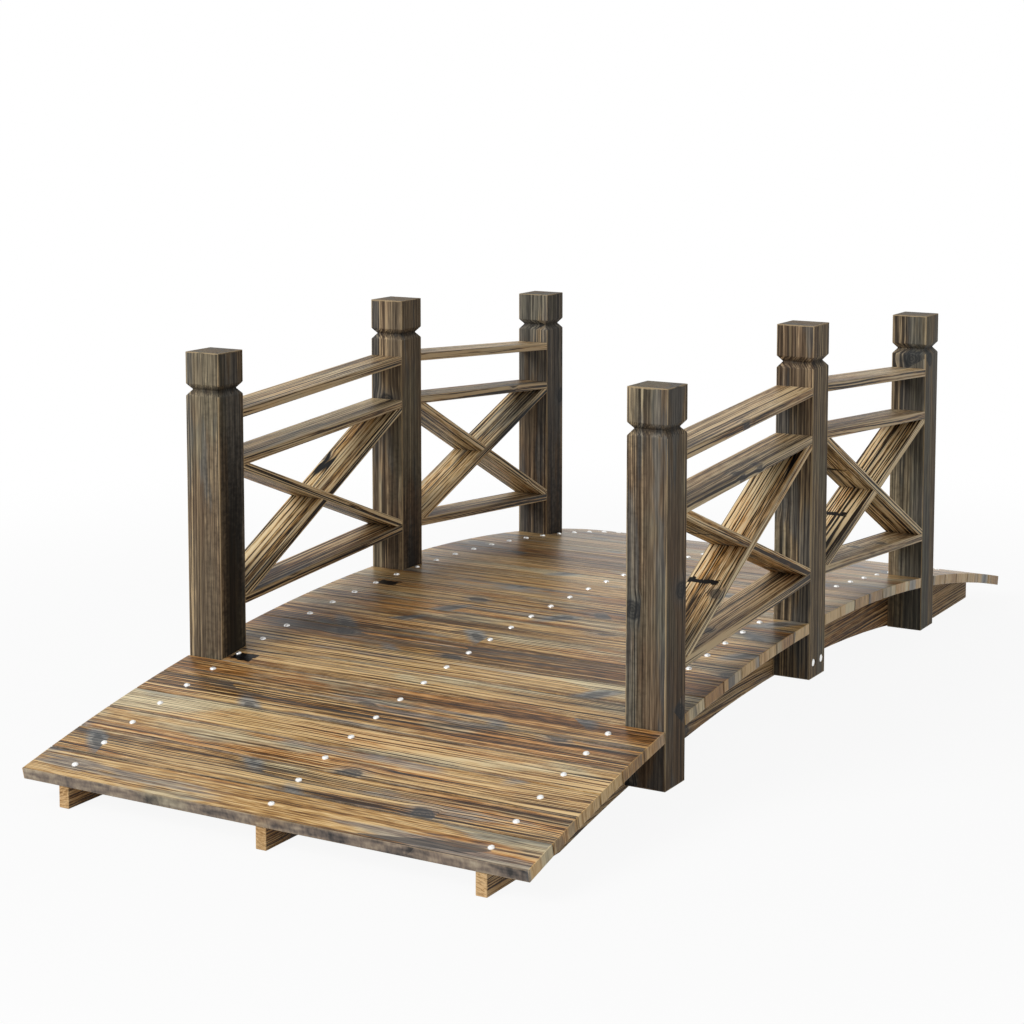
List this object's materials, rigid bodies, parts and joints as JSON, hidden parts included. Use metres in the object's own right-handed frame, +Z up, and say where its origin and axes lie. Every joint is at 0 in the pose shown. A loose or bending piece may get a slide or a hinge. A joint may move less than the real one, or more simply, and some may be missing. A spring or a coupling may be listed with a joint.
{
  "type": "arched wooden footbridge",
  "caption": "Arched wooden garden footbridge: a board deck on curved stringers, with railings of grooved posts, sloping rails and crossed braces.",
  "frame": {"origin": "on the ground under the middle of the deck", "axes": "+X along the bridge, +Y across it, +Z up"},
  "size_m": [1.5186, 0.67, 0.517],
  "materials": {
    "deck_wood": "brushed and scorched fir, satin oil",
    "post_wood": "brushed and scorched fir, satin oil",
    "rail_wood": "brushed and scorched fir, satin oil",
    "stringer_wood": "brushed and scorched fir, satin oil",
    "fixing_steel": "bright zinc"
  },
  "bodies": {
    "root": {"left_stringer": "stringer_wood", "middle_stringer": "stringer_wood", "right_stringer": "stringer_wood", "near_approach_boards": "deck_wood", "near_post_board": "deck_wood", "near_bay_boards": "deck_wood", "middle_post_board": "deck_wood", "far_bay_boards": "deck_wood", "far_post_board": "deck_wood", "far_approach_boards": "deck_wood", "left_near_post": "post_wood", "left_middle_post": "post_wood", "left_far_post": "post_wood", "right_near_post": "post_wood", "right_middle_post": "post_wood", "right_far_post": "post_wood", "left_near_top_rail": "rail_wood", "left_near_middle_rail": "rail_wood", "left_near_bottom_rail": "rail_wood", "left_far_top_rail": "rail_wood", "left_far_middle_rail": "rail_wood", "left_far_bottom_rail": "rail_wood", "right_near_top_rail": "rail_wood", "right_near_middle_rail": "rail_wood", "right_near_bottom_rail": "rail_wood", "right_far_top_rail": "rail_wood", "right_far_middle_rail": "rail_wood", "right_far_bottom_rail": "rail_wood", "left_near_rising_brace": "rail_wood", "left_near_falling_brace": "rail_wood", "left_far_rising_brace": "rail_wood", "left_far_falling_brace": "rail_wood", "right_near_rising_brace": "rail_wood", "right_near_falling_brace": "rail_wood", "right_far_rising_brace": "rail_wood", "right_far_falling_brace": "rail_wood"}
  },
  "joints": []
}
